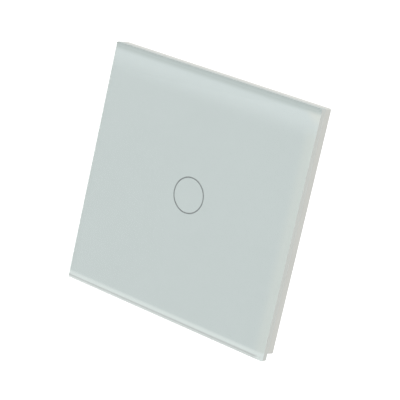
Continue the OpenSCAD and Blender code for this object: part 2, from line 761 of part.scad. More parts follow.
module rear_housing() color("whitesmoke") stand_up() difference() {
  union() {
    housing_shell();
    at_corners(boss_x, boss_y) at_z(housing_floor_z - merge)
      cylinder(d = boss_d, h = seat_recess - housing_floor_z + merge);
    board_shelves();
  }
  at_corners(boss_x, boss_y) at_z(case_seat_z - case_screw_l - past)
    cylinder(d = case_core_d + 2 * turn_fit, h = case_screw_l + past);
  terminal_opening();
  vent_slots();
}

glass_panel();
back_enamel();
touch_ring();
glass_tape();
panel_frame();
front_plate();
panel_clips();
case_screws();
light_guide();
touch_spring();
touch_board();
touch_chip();
indicator_leds();
touch_board_parts();
header_pins();
header_socket();
board_pillars();
power_board();
terminal_block();
terminal_bars();
terminal_cage(1);  // terminal_cage_1
terminal_cage(2);  // terminal_cage_2
terminal_cage(3);  // terminal_cage_3
terminal_screw(1);  // terminal_screw_1
terminal_screw(2);  // terminal_screw_2
terminal_screw(3);  // terminal_screw_3
relay_base();
relay_cover();
relay_pins();
relay_yoke();
relay_core();
relay_bobbin();
relay_coil();
relay_armature();
relay_blade();
relay_fixed_contact();
supply_capacitor();
smoothing_capacitor();
choke_core();
choke_winding();
varistor();
fuse();
bridge_rectifier();
rear_housing();
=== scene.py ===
import math

import bmesh
import bpy
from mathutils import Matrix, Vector


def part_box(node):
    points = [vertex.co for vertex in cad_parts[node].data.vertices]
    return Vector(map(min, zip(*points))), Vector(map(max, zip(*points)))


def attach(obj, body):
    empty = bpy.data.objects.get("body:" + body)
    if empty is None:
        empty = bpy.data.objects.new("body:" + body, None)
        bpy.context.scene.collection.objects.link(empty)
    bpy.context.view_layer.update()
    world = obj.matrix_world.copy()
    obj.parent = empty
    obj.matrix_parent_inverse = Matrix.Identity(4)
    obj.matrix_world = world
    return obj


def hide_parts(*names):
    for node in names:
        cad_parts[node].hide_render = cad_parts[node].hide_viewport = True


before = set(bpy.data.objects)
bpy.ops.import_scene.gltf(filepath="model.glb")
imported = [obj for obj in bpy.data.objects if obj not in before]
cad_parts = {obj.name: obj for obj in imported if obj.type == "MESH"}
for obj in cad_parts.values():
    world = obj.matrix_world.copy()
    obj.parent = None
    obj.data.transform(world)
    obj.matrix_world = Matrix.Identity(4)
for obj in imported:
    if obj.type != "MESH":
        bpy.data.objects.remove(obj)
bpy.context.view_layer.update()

# The studio holds the switch in the air, as its wall box would, over a plain pale floor.
# White stands all round it for the camera and for what glass and metal mirror, and two wide
# soft lamps overhead and on the right give its edges their light and shade.


class Value:
    """One output in a node tree. Sums with it add Math nodes, and node() adds any other node."""

    def __init__(self, tree, socket=None):
        self.tree = tree
        self.socket = socket

    def node(self, kind, settings=(), inputs=(), output=0):
        made = self.tree.nodes.new("ShaderNode" + kind)
        for name, setting in dict(settings).items():
            setattr(made, name, setting)
        for name, value in dict(inputs).items():
            if isinstance(value, Value):
                self.tree.links.new(value.socket, made.inputs[name])
            else:
                made.inputs[name].default_value = value
        return Value(self.tree, made.outputs[output])

    def into(self, shader, socket):
        self.tree.links.new(self.socket, shader.inputs[socket])

    def maths(self, operation, *others):
        return self.node("Math", {"operation": operation}, enumerate((self, *others)))

    def __add__(self, other):
        return self.maths("ADD", other)

    __radd__ = __add__

    def __sub__(self, other):
        return self.maths("SUBTRACT", other)

    def __rsub__(self, other):
        return self * -1 + other

    def __mul__(self, other):
        return self.maths("MULTIPLY", other)

    __rmul__ = __mul__

    def __gt__(self, other):
        return self.maths("GREATER_THAN", other)

    def __abs__(self):
        return self.maths("ABSOLUTE")


def seen_directly(tree):
    """1 for camera rays and for what mirrors and glass show, 0 for the light that falls on things."""
    rays = ("Camera", "Glossy", "Transmission")
    return sum(Value(tree).node("LightPath", output=f"Is {ray} Ray") for ray in rays).maths("MINIMUM", 1)


def between(factor, low, high):
    """The colour that goes from low to high as factor goes from 0 to 1."""
    low, high = (end if isinstance(end, Value) else (*end, 1) for end in (low, high))
    return factor.node("Mix", {"data_type": "RGBA"}, {0: factor, 6: low, 7: high}, output=2)


bpy.context.scene.view_settings.view_transform = "Standard"
sky_fill = 0.9
world = bpy.data.worlds.new("studio_white")
world.use_nodes = True
bpy.context.scene.world = world
seen = seen_directly(world.node_tree)
sky = world.node_tree.nodes["Background"]
sky.inputs["Color"].default_value = (1, 1, 1, 1)
(seen + sky_fill * (1 - seen)).into(sky, "Strength")

floor_side = 60.0
floor_drop = 0.75
floor_glow = 0.5
bpy.ops.object.select_all(action="DESELECT")
bpy.ops.mesh.primitive_plane_add(size=floor_side, location=(0, 0, -floor_drop))
floor = bpy.context.active_object
floor.name = "studio_floor"
paper = bpy.data.materials.new("floor_paper")
paper.use_nodes = True
paper_shader = paper.node_tree.nodes["Principled BSDF"]
paper_shader.inputs["Base Color"].default_value = (0.86, 0.86, 0.86, 1)
paper_shader.inputs["Roughness"].default_value = 0.9
paper_shader.inputs["Emission Strength"].default_value = floor_glow
between(seen_directly(paper.node_tree), (0, 0, 0), (1, 1, 1)).into(paper_shader, "Emission Color")
floor.data.materials.append(paper)

for lamp_name, place, power, side in (
    ("overhead_lamp", Vector((0.1, -0.35, 1.1)), 4.6, 0.9),
    ("right_lamp", Vector((1.1, -0.5, 0.25)), 0.5, 0.8),
):
    bpy.ops.object.light_add(type="AREA", location=place, rotation=place.to_track_quat("Z", "Y").to_euler())
    lamp = bpy.context.active_object
    lamp.name = lamp_name
    lamp.data.energy = power
    lamp.data.size = side

camera_place = (0.3067, -0.4553, 0.1231)
camera_turns = (76.924, -12.332, 36.806)
camera_lens = 149.13
film_width = 36.0
bpy.ops.object.camera_add(location=camera_place, rotation=[math.radians(turn) for turn in camera_turns])
camera = bpy.context.active_object
camera.data.sensor_width = film_width
camera.data.lens = camera_lens
bpy.context.scene.camera = camera

# The rear housing is an open box moulded in pale plastic that goes into the wall box. Its edges are
# rounded by the mould, its faces have a spark-eroded grain, and slots in its back let warm air out.
# The mould also leaves finger grooves in its sides, four round pin marks and a sunk bare panel.


def new_finish(name, sockets=()):
    """A material, its shader with these values on its sockets, and the place on the piece as a Value."""
    material = bpy.data.materials.new(name)
    material.use_nodes = True
    shader = material.node_tree.nodes["Principled BSDF"]
    for socket, value in dict(sockets).items():
        shader.inputs[socket].default_value = value
    return material, shader, Value(material.node_tree).node("TexCoord", output="Object")


def noise(place, size, detail=2.0, stretch=(1, 1, 1)):
    """Cloudy values from 0 to 1 whose patches are about size metres across, drawn out by stretch."""
    scaled = place.node("Mapping", inputs={"Vector": place, "Scale": [1 / (size * s) for s in stretch]})
    return scaled.node("TexNoise", inputs={"Vector": scaled, "Scale": 1.0, "Detail": detail})


def rises(value, start, end):
    """0 up to start, 1 from end on, and smooth between them."""
    limits = {"Value": value, "From Min": start, "From Max": end}
    return value.node("MapRange", {"interpolation_type": "SMOOTHSTEP"}, limits)


def along(place, axis):
    """How far a place lies along one axis."""
    return place.node("SeparateXYZ", inputs={"Vector": place}, output=axis)


def shaded(colour, share):
    """A colour made darker or, with a share above 1, paler."""
    return [channel * share for channel in colour]


def embossed(shader, height, depth):
    """Raises the surface by depth where height is 1."""
    height.node("Bump", inputs={"Height": height, "Distance": depth, "Strength": 1.0}).into(shader, "Normal")


def moulded(name, colour, roughness=0.42, pit=0.0003, pit_depth=0.000012):
    """Moulded plastic: faint flow clouds in its colour, and the pitted grain of the mould."""
    material, shader, place = new_finish(name, {"IOR": 1.5})
    flow = noise(place, size=0.012, detail=3)
    pits = noise(place, pit)
    between(flow, shaded(colour, 0.95), shaded(colour, 1.05)).into(shader, "Base Color")
    (roughness - 0.06 + 0.12 * pits).into(shader, "Roughness")
    embossed(shader, pits, pit_depth)
    return material


def work_on(piece):
    """Selects one piece alone and makes it active."""
    bpy.ops.object.select_all(action="DESELECT")
    piece.select_set(True)
    bpy.context.view_layer.objects.active = piece


def hand_over(piece, material, slot, body, *nodes):
    """Gives a finished piece its material, the body it moves with and the CAD nodes it stands for."""
    piece.data.materials.clear()
    piece.data.materials.append(material)
    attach(piece, body)
    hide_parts(*nodes)


def joined(*parts):
    """Joins parts into the first of them."""
    work_on(parts[0])
    for part in parts:
        part.select_set(True)
    bpy.ops.object.join()
    return parts[0]


def carved(piece, *cutters):
    """Cuts the shapes of the cutters, which lie apart, out of a piece."""
    tool = joined(*cutters)
    work_on(piece)
    cut = piece.modifiers.new("cut", "BOOLEAN")
    cut.operation = "DIFFERENCE"
    cut.object = tool
    bpy.ops.object.modifier_apply(modifier=cut.name)
    bpy.data.objects.remove(tool)


def edges_rounded(piece, rounding, steps=2, from_angle=30.0, cutters=()):
    """Rounds the edges that turn by more than from_angle, makes the cuts, and shades the rest smooth."""
    round_edges = piece.modifiers.new("round_edges", "BEVEL")
    round_edges.width = rounding
    round_edges.segments = steps
    round_edges.limit_method = "ANGLE"
    round_edges.angle_limit = math.radians(from_angle)
    round_edges.use_clamp_overlap = False
    round_edges.loop_slide = False
    bpy.ops.object.modifier_apply(modifier=round_edges.name)
    if cutters:
        carved(piece, *cutters)
    bpy.ops.object.shade_smooth_by_angle(angle=math.radians(from_angle))
    flat_faces = piece.modifiers.new("flat_faces", "WEIGHTED_NORMAL")
    flat_faces.keep_sharp = True
    bpy.ops.object.modifier_apply(modifier=flat_faces.name)


weld_gap = 1e-6


def copy_of(node, name):
    """A copy of a CAD node's mesh with its points merged."""
    piece = bpy.data.objects.new(name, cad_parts[node].data.copy())
    bpy.context.scene.collection.objects.link(piece)
    work_on(piece)
    bpy.ops.mesh.customdata_custom_splitnormals_clear()
    bpy.ops.object.mode_set(mode="EDIT")
    bpy.ops.mesh.select_all(action="SELECT")
    bpy.ops.mesh.remove_doubles(threshold=weld_gap)
    bpy.ops.object.mode_set(mode="OBJECT")
    return piece


def pick_edges(test):
    """In edit mode, selects only the edges whose two ends pass the test."""
    mesh = bmesh.from_edit_mesh(bpy.context.edit_object.data)
    bpy.ops.mesh.select_mode(type="EDGE")
    bpy.ops.mesh.select_all(action="DESELECT")
    for edge in mesh.edges:
        edge.select_set(bool(test(*(end.co for end in edge.verts))))
    mesh.select_flush_mode()
    bmesh.update_edit_mesh(bpy.context.edit_object.data)


def rounded_block(size, middle, corner):
    """A block whose edges along Y are rounded, to cut with."""
    bpy.ops.object.select_all(action="DESELECT")
    bpy.ops.mesh.primitive_cube_add(size=1, location=middle, scale=size)
    block = bpy.context.active_object
    bpy.ops.object.transform_apply(location=True, rotation=True, scale=True)
    bpy.ops.object.mode_set(mode="EDIT")
    pick_edges(lambda a, b: abs(a.y - b.y) > size[1] / 2)
    bpy.ops.mesh.bevel(offset=corner, segments=4, affect="EDGES")
    bpy.ops.object.mode_set(mode="OBJECT")
    return block


def softened(node, name, material, slot, body, rounding, steps=2, cutters=()):
    """The CAD node with its edges rounded, as a mould, a press or a cutter leaves them."""
    piece = copy_of(node, name)
    edges_rounded(piece, rounding, steps, cutters=cutters)
    hand_over(piece, material, slot, body, node)
    return piece


housing_low, housing_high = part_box("rear_housing")
sink = 0.0003
bare_panel = (0.026, 2 * sink, 0.009)
bare_panel_z = -0.005
pin_mark_r = 0.0016
pin_mark_out = 0.8
pin_mark_heights = (-0.0055, 0.0195)
grip_groove = (2 * sink, 0.013, 0.0012)
grip_y = 0.0135
grip_step = 0.003
marks = [rounded_block(bare_panel, (0, housing_high.y, bare_panel_z), corner=0.001)]
for x in (housing_low.x, housing_high.x):
    for z in pin_mark_heights:
        bpy.ops.mesh.primitive_cylinder_add(
            vertices=32, radius=pin_mark_r, depth=2 * sink, location=(pin_mark_out * x, housing_high.y, z),
            rotation=(math.pi / 2, 0, 0))
        marks.append(bpy.context.active_object)
        bpy.ops.object.transform_apply(location=True, rotation=True, scale=True)
    for step in range(-3, 4):
        marks.append(rounded_block(grip_groove, (x, grip_y, step * grip_step), corner=0.0002))
housing_white = moulded("housing_grain", (0.78, 0.78, 0.75), roughness=0.5)
softened(
    "rear_housing", "housing_shell", housing_white, "housing_plastic", "base", rounding=0.0001, cutters=marks)

# The power board is green glass-fibre laminate with copper tracks under its solder mask. It rests on
# shelves in the housing and carries the supply, the relay and the terminals.


def laminate(name, node):
    """Solder mask over tracks that run across or up the board, with tinned pads and a bare cut edge."""
    material, shader, place = new_finish(name, {"Coat Roughness": 0.2})
    low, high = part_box(node)
    track_step = 0.0014
    wave_period = 0.314  # of a Wave texture at a scale of 1
    lines = []
    for direction in ("X", "Z"):
        bands = {"wave_type": "BANDS", "bands_direction": direction}
        wave = place.node("TexWave", bands, {"Vector": place, "Scale": wave_period / track_step})
        lines.append(rises(wave, start=0.55, end=0.75))
    upright = rises(noise(place, size=0.011), start=0.49, end=0.51)
    track = lines[0] * upright + lines[1] * (1 - upright)
    pad_step = 0.0045
    pad_place = place.node("TexVoronoi", inputs={"Vector": place, "Scale": 1 / pad_step})
    pad = rises(pad_place, start=0.24, end=0.2)
    half = (high - low) / 2
    cut = 0.00008
    edge = (abs(along(place, "X")) > half.x - cut).maths("MAXIMUM", abs(along(place, "Z")) > half.z - cut)
    mask = between(track, (0.012, 0.10, 0.045), (0.03, 0.19, 0.075))
    tinned = between(pad, mask, (0.62, 0.62, 0.60))
    between(edge, tinned, (0.42, 0.36, 0.18)).into(shader, "Base Color")
    pad.into(shader, "Metallic")
    (0.32 + 0.1 * noise(place, size=0.0006)).into(shader, "Roughness")
    ((1 - pad) * 0.5).into(shader, "Coat Weight")
    embossed(shader, track + pad, depth=0.00003)
    return material


def dressed(node, material):
    """Leaves a CAD node as it is and gives it a finish."""
    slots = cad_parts[node].data.materials
    slots.clear()
    slots.append(material)


dressed("power_board", laminate("power_laminate", "power_board"))

# The parts soldered to the power board: a film capacitor in a moulded box, an electrolytic can in its
# shrink sleeve, a varistor disc dipped in epoxy, a fuse can, a bridge rectifier and a choke's ferrite reel.


def leaded(name, node, colour, lead_reach):
    """A glossy dipped or moulded body on tinned leads, which show up to lead_reach above the board."""
    material, shader, place = new_finish(name, {"IOR": 1.5})
    board_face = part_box(node)[0].y
    dip_start = 0.9 * lead_reach
    body = rises(along(place, "Y"), board_face + dip_start, board_face + lead_reach)
    cloud = noise(place, size=0.003, detail=3)
    coat = between(cloud, shaded(colour, 0.9), shaded(colour, 1.1))
    between(body, (0.60, 0.60, 0.58), coat).into(shader, "Base Color")
    (1 - body).into(shader, "Metallic")
    (0.2 + 0.15 * cloud).into(shader, "Roughness")
    embossed(shader, noise(place, size=0.0015), depth=0.00004)
    return material


film_box = moulded("film_box", (0.75, 0.55, 0.08), roughness=0.3, pit=0.0006)
chip_epoxy = moulded("chip_epoxy", (0.03, 0.03, 0.035), roughness=0.5, pit=0.00012)
softened("supply_capacitor", "film_capacitor", film_box, "film_yellow", "base", rounding=0.0004, steps=3)
softened("bridge_rectifier", "bridge_body", chip_epoxy, "chip_black", "base", rounding=0.0003)
varistor_dip = leaded("varistor_dip", "varistor", (0.06, 0.18, 0.48), lead_reach=0.001)
softened("varistor", "varistor_disc", varistor_dip, "disc_blue", "base", rounding=0.00022, steps=3)
fuse_can = leaded("fuse_can", "fuse", (0.20, 0.09, 0.04), lead_reach=0.0008)
softened("fuse", "fuse_can", fuse_can, "fuse_brown", "base", rounding=0.0003, steps=3)

sleeve, sleeve_shader, sleeve_place = new_finish("shrink_sleeve", {"Roughness": 0.28})
can_low, can_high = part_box("smoothing_capacitor")
can_middle = (can_low + can_high) / 2
can_skin = 0.00005
stripe_from = 0.7
can_top = along(sleeve_place, "Y") > can_high.y - can_skin
stripe = along(sleeve_place, "X") > can_middle.x + stripe_from * (can_high.x - can_middle.x)
navy = between(noise(sleeve_place, size=0.004), (0.025, 0.04, 0.12), (0.035, 0.06, 0.18))
marked = between(stripe, navy, (0.55, 0.60, 0.62))
between(can_top, marked, (0.72, 0.72, 0.72)).into(sleeve_shader, "Base Color")
can_top.into(sleeve_shader, "Metallic")
embossed(sleeve_shader, noise(sleeve_place, size=0.002), depth=0.00003)
softened("smoothing_capacitor", "electrolytic_can", sleeve, "sleeve_navy", "base", rounding=0.0002, steps=3)

ferrite = moulded("fired_ferrite", (0.07, 0.07, 0.075), roughness=0.6, pit=0.00015)
softened("choke_core", "choke_reel", ferrite, "ferrite", "base", rounding=0.00025, steps=3)

# The choke's winding is lacquered copper wire, wound on the reel turn by turn in several layers. Only
# the outer layer shows, so the layers under it are one plain sleeve.


def wire_finish(name, colour, roughness=0.25):
    """Drawn wire: bright metal with fine draw marks, a little darker in patches."""
    material, shader, place = new_finish(name, {"Metallic": 1.0})
    patch = noise(place, size=0.0025, detail=3)
    between(patch, shaded(colour, 0.8), shaded(colour, 1.1)).into(shader, "Base Color")
    (roughness - 0.05 + 0.15 * patch).into(shader, "Roughness")
    embossed(shader, noise(place, size=0.00006), depth=0.000002)
    return material


def closed_and_outward(piece):
    """Closes the ends of a swept piece and points all its faces outwards."""
    work_on(piece)
    bpy.ops.object.mode_set(mode="EDIT")
    bpy.ops.mesh.select_all(action="SELECT")
    bpy.ops.mesh.remove_doubles(threshold=weld_gap)
    bpy.ops.mesh.fill_holes(sides=32)
    bpy.ops.mesh.select_all(action="SELECT")
    bpy.ops.mesh.normals_make_consistent(inside=False)
    bpy.ops.object.mode_set(mode="OBJECT")


wire_smoothing = math.radians(40)


def coiled(name, sides, wire_r, radius, pitch, turns, steps):
    """A wire or thread of so many sides, wound round the Y axis from Y = 0."""
    bpy.ops.object.select_all(action="DESELECT")
    bpy.ops.mesh.primitive_circle_add(vertices=sides, radius=wire_r, location=(radius, 0, 0))
    piece = bpy.context.active_object
    piece.name = name
    bpy.ops.object.transform_apply(location=True, rotation=True, scale=True)
    winder = piece.modifiers.new("winder", "SCREW")
    winder.axis = "Y"
    winder.screw_offset = pitch
    winder.iterations = turns
    winder.steps = steps
    winder.render_steps = steps
    bpy.ops.object.modifier_apply(modifier=winder.name)
    closed_and_outward(piece)
    return piece


def moved(piece, shift):
    """Moves a piece and puts its new place in its mesh."""
    work_on(piece)
    bpy.ops.transform.translate(value=shift)
    bpy.ops.object.transform_apply(location=True, rotation=True, scale=True)


def wound(node, name, material, slot, body, wire_d):
    """A winding in the node's place: a sleeve for its inner layers and one outer layer of turns."""
    low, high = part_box(node)
    middle = (low + high) / 2
    radius = (high.x - low.x) / 2
    length = high.y - low.y
    turns = int(length / wire_d) - 1
    bare_r = 0.48 * wire_d
    turn_r = radius - wire_d / 2
    outer = coiled(name, sides=8, wire_r=bare_r, radius=turn_r, pitch=wire_d, turns=turns, steps=32)
    moved(outer, (middle.x, low.y + (length - turns * wire_d) / 2, middle.z))
    inner = copy_of(node, name + "_layers")
    bpy.ops.transform.resize(value=(turn_r / radius, 1, turn_r / radius), center_override=middle)
    bpy.ops.object.transform_apply(location=True, rotation=True, scale=True)
    joined(outer, inner)
    bpy.ops.object.shade_smooth_by_angle(angle=wire_smoothing)
    hand_over(outer, material, slot, body, node)


lacquered_copper = wire_finish("lacquered_copper", (0.62, 0.28, 0.12))
wound("choke_winding", "choke_turns", lacquered_copper, "copper_wire", "base", wire_d=0.0005)

# The relay switches the lamp. On its black base stand an iron yoke and core with a wound bobbin, an
# armature that the core pulls in, and two contact strips, all under a smooth blue cover.


def rolled(name, colour, grain_axis, roughness=0.3):
    """Rolled or plated metal: streaks along the strip and a faint cloud in its shine."""
    material, shader, place = new_finish(name, {"Metallic": 1.0})
    stretch = [30 if axis == grain_axis else 1 for axis in "XYZ"]
    streak = noise(place, size=0.00012, detail=3, stretch=stretch)
    cloud = noise(place, size=0.004, detail=3)
    between(streak, shaded(colour, 0.86), shaded(colour, 1.06)).into(shader, "Base Color")
    (roughness - 0.12 + 0.14 * streak + 0.12 * cloud).into(shader, "Roughness")
    embossed(shader, streak, depth=0.000003)
    return material


soft_iron = rolled("soft_iron", (0.50, 0.50, 0.50), "X", roughness=0.4)
contact_bronze = rolled("contact_bronze", (0.70, 0.42, 0.22), "X")
tinned_pin = rolled("tinned_pin", (0.66, 0.66, 0.64), "Y")
bobbin_nylon = moulded("bobbin_nylon", (0.80, 0.79, 0.74), roughness=0.45)
base_black = moulded("base_black", (0.025, 0.025, 0.028), roughness=0.5)
cover_blue = moulded("cover_blue", (0.05, 0.16, 0.45), roughness=0.25, pit=0.0008, pit_depth=0.000006)
softened("relay_cover", "relay_hood", cover_blue, "relay_blue", "base", rounding=0.00025, steps=3)
softened("relay_base", "relay_floor", base_black, "header_black", "base", rounding=0.0001)
softened("relay_pins", "relay_leads", tinned_pin, "zinc_steel", "base", rounding=0.00012)
softened("relay_yoke", "relay_iron_angle", soft_iron, "soft_iron", "base", rounding=0.00012)
softened("relay_core", "relay_pole", soft_iron, "soft_iron", "base", rounding=0.0001)
softened("relay_bobbin", "relay_reel", bobbin_nylon, "nylon_white", "base", rounding=0.0001)
softened(
    "relay_fixed_contact", "relay_still_contact", contact_bronze, "contact_bronze", "base", rounding=0.00005)
softened("relay_armature", "relay_rocker", soft_iron, "soft_iron", "armature", rounding=0.0001)
softened(
    "relay_blade", "relay_moving_contact", contact_bronze, "contact_bronze", "armature", rounding=0.00003)
wound("relay_coil", "relay_turns", lacquered_copper, "copper_wire", "base", wire_d=0.0002)

# The terminal block is a dark moulding at the foot of the housing. A screw held in it draws a brass
# cage up against a bar, which clamps the wire that goes in from below.
block_black = moulded("block_grain", (0.06, 0.06, 0.065), roughness=0.4)
softened("terminal_block", "terminal_moulding", block_black, "terminal_plastic", "base", rounding=0.00015)
stamped_brass = rolled("stamped_brass", (0.72, 0.55, 0.26), "X", roughness=0.32)
softened("terminal_bars", "clamp_bars", stamped_brass, "brass", "base", rounding=0.00008)
for number in (1, 2, 3):
    softened(
        f"terminal_cage_{number}", f"clamp_cage_{number}", stamped_brass, "brass", f"cage_{number}",
        rounding=0.0001)

# The terminal screws and, later, the housing screws are cold-headed steel with a rolled thread and
# bright zinc plate. A cutter leaves a slot or a cross in the head.


def pick_faces(test):
    """In edit mode, selects only the faces whose middle and normal pass the test."""
    mesh = bmesh.from_edit_mesh(bpy.context.edit_object.data)
    bpy.ops.mesh.select_mode(type="FACE")
    for face in mesh.faces:
        face.select_set(bool(test(face.calc_center_median(), face.normal)))
    mesh.select_flush_mode()
    bmesh.update_edit_mesh(bpy.context.edit_object.data)


def screw_blank(name, head_r, head_t, core_r, core_l):
    """A screw whose head rests on Y = 0 and faces -Y, with a domed rim and a pointed core."""
    bpy.ops.object.select_all(action="DESELECT")
    bpy.ops.mesh.primitive_cylinder_add(
        vertices=48, radius=head_r, depth=head_t, location=(0, -head_t / 2, 0), rotation=(math.pi / 2, 0, 0))
    piece = bpy.context.active_object
    piece.name = name
    bpy.ops.object.transform_apply(location=True, rotation=True, scale=True)
    bpy.ops.object.mode_set(mode="EDIT")
    front = -head_t + weld_gap
    dome = 0.35 * head_t
    tip = 0.5 * core_r
    tip_share = 0.6
    pick_edges(lambda a, b: a.y < front and b.y < front)
    bpy.ops.mesh.bevel(offset=dome, segments=5, affect="EDGES")
    pick_faces(lambda middle, normal: normal.y > 0.9)
    bpy.ops.mesh.inset(thickness=head_r - core_r)
    bpy.ops.mesh.extrude_region_move(TRANSFORM_OT_translate={"value": (0, core_l - tip, 0)})
    bpy.ops.mesh.extrude_region_move(TRANSFORM_OT_translate={"value": (0, tip, 0)})
    bpy.ops.transform.resize(value=(tip_share, 1, tip_share))
    bpy.ops.object.mode_set(mode="OBJECT")
    return piece


def driven(piece, head_t, depth, width, lengths):
    """Cuts a slot, or with two lengths a cross, into the head."""
    for number, length in enumerate(lengths):
        size = (length, 2 * depth, width) if number == 0 else (width, 2 * depth, length)
        bpy.ops.mesh.primitive_cube_add(size=1, location=(0, -head_t, 0), scale=size)
        cutter = bpy.context.active_object
        bpy.ops.object.transform_apply(location=True, rotation=True, scale=True)
        carved(piece, cutter)


def machine_screw(name, head_r, head_t, thread_r, length, pitch, depth, width, lengths):
    """A finished screw: head, drive, and a rolled thread whose crest is at thread_r."""
    ridge = 0.5 * pitch
    core_r = thread_r - 0.75 * ridge
    piece = screw_blank(name, head_r, head_t, core_r, length)
    driven(piece, head_t, depth, width, lengths)
    turns = int(length / pitch) - 2
    thread = coiled(
        name + "_thread", sides=3, wire_r=ridge, radius=core_r - 0.25 * ridge, pitch=pitch,
        turns=turns, steps=24)
    moved(thread, (0, pitch, 0))
    joined(piece, thread)
    edges_rounded(piece, rounding=0.00003, steps=1, from_angle=50.0)
    return piece


def copied(piece, name):
    """A copy with its own mesh."""
    copy = bpy.data.objects.new(name, piece.data.copy())
    bpy.context.scene.collection.objects.link(copy)
    return copy


zinc_plate = rolled("zinc_plate", (0.66, 0.67, 0.68), "Y", roughness=0.28)
first_low, first_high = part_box("terminal_screw_1")
clamp_head_r = (first_high.x - first_low.x) / 2
clamp_head_t = 0.0016
clamp_thread_r = 0.00145
clamp_screw = machine_screw(
    "clamp_screw", head_r=clamp_head_r, head_t=clamp_head_t, thread_r=clamp_thread_r,
    length=first_high.y - first_low.y - clamp_head_t, pitch=0.0005,
    depth=0.0008, width=0.0008, lengths=[3 * clamp_head_r])
work_on(clamp_screw)
bpy.ops.transform.rotate(value=math.pi, orient_axis="Z", center_override=(0, 0, 0))
bpy.ops.object.transform_apply(location=True, rotation=True, scale=True)
for number in (1, 2, 3):
    node = f"terminal_screw_{number}"
    low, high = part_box(node)
    screw = copied(clamp_screw, f"clamp_screw_{number}")
    moved(screw, ((low.x + high.x) / 2, high.y - clamp_head_t, (low.z + high.z) / 2))
    hand_over(screw, zinc_plate, "zinc_steel", f"screw_{number}", node)
bpy.data.objects.remove(clamp_screw)

# Moulded nylon pillars hold the two boards apart. A row of gilt pins in a black strip, soldered to the
# touch board, plugs into a socket on the power board.
pillar_nylon = moulded("pillar_nylon", (0.80, 0.79, 0.74), roughness=0.45)
softened("board_pillars", "nylon_pillars", pillar_nylon, "nylon_white", "base", rounding=0.00015)
softened("header_socket", "pin_socket", base_black, "header_black", "base", rounding=0.00008)
pin_finish, pin_shader, pin_place = new_finish("pin_strip")
strip_t = 0.002
gilt = along(pin_place, "Y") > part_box("header_pins")[0].y + strip_t
strip_cloud = noise(pin_place, size=0.0004)
strip_black = between(strip_cloud, (0.02, 0.02, 0.022), (0.032, 0.032, 0.036))
between(gilt, strip_black, (0.80, 0.62, 0.28)).into(pin_shader, "Base Color")
gilt.into(pin_shader, "Metallic")
(0.3 + 0.2 * strip_cloud).into(pin_shader, "Roughness")
softened("header_pins", "pin_row", pin_finish, "header_black", "base", rounding=0.00006)

# The touch board faces the glass. Its chip senses the finger through the spring, small ceramic parts
# with tinned ends stand beside the chip, and two lamps under milky lenses light the ring.
dressed("touch_board", laminate("touch_laminate", "touch_board"))
softened("touch_chip", "sensor_chip", chip_epoxy, "chip_black", "base", rounding=0.00015)
ceramic, ceramic_shader, ceramic_place = new_finish("ceramic_parts")
part_low, part_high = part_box("touch_board_parts")
part_middle = (part_low.x + part_high.x) / 2
body_share = 0.3
tinned_end = abs(along(ceramic_place, "X") - part_middle) > body_share * (part_high.x - part_low.x)
fired = between(noise(ceramic_place, size=0.0003), (0.50, 0.36, 0.23), (0.60, 0.44, 0.29))
between(tinned_end, fired, (0.66, 0.66, 0.64)).into(ceramic_shader, "Base Color")
tinned_end.into(ceramic_shader, "Metallic")
(0.3 + 0.2 * noise(ceramic_place, size=0.0002)).into(ceramic_shader, "Roughness")
softened("touch_board_parts", "ceramic_parts", ceramic, "ceramic_tan", "base", rounding=0.00006)
lens_milk = moulded("lens_milk", (0.90, 0.87, 0.70), roughness=0.2, pit=0.0002)
softened("indicator_leds", "ring_lamps", lens_milk, "led_lens", "base", rounding=0.0001)

# The light guide is a clear moulded tube that stands on the touch board round the two lamps. Its
# front rim is frosted so that the ring glows evenly.


def lets_light_through(material, shader):
    """Lets the light that falls on things pass straight through a clear piece."""
    tree = material.node_tree
    start = Value(tree)
    passing = start.node("LightPath", output="Is Shadow Ray").maths(
        "MAXIMUM", start.node("LightPath", output="Is Diffuse Ray"))
    straight = start.node("BsdfTransparent")
    clear = Value(tree, shader.outputs["BSDF"])
    surface = start.node("MixShader", inputs={0: passing, 1: clear, 2: straight})
    tree.links.new(surface.socket, tree.nodes["Material Output"].inputs["Surface"])


guide_clear, guide_shader, guide_place = new_finish(
    "guide_clear", {"Base Color": (0.93, 0.96, 0.96, 1), "Transmission Weight": 1.0, "IOR": 1.49})
guide_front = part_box("light_guide")[0].y
frost_depth = 0.0002
frost_end = 0.0005
frosted = 1 - rises(along(guide_place, "Y"), guide_front + frost_depth, guide_front + frost_end)
(0.04 + 0.5 * frosted + 0.05 * noise(guide_place, size=0.002)).into(guide_shader, "Roughness")
embossed(guide_shader, noise(guide_place, size=0.00015) * frosted, depth=0.00001)
lets_light_through(guide_clear, guide_shader)
softened("light_guide", "light_tube", guide_clear, "clear_plastic", "base", rounding=0.0001)

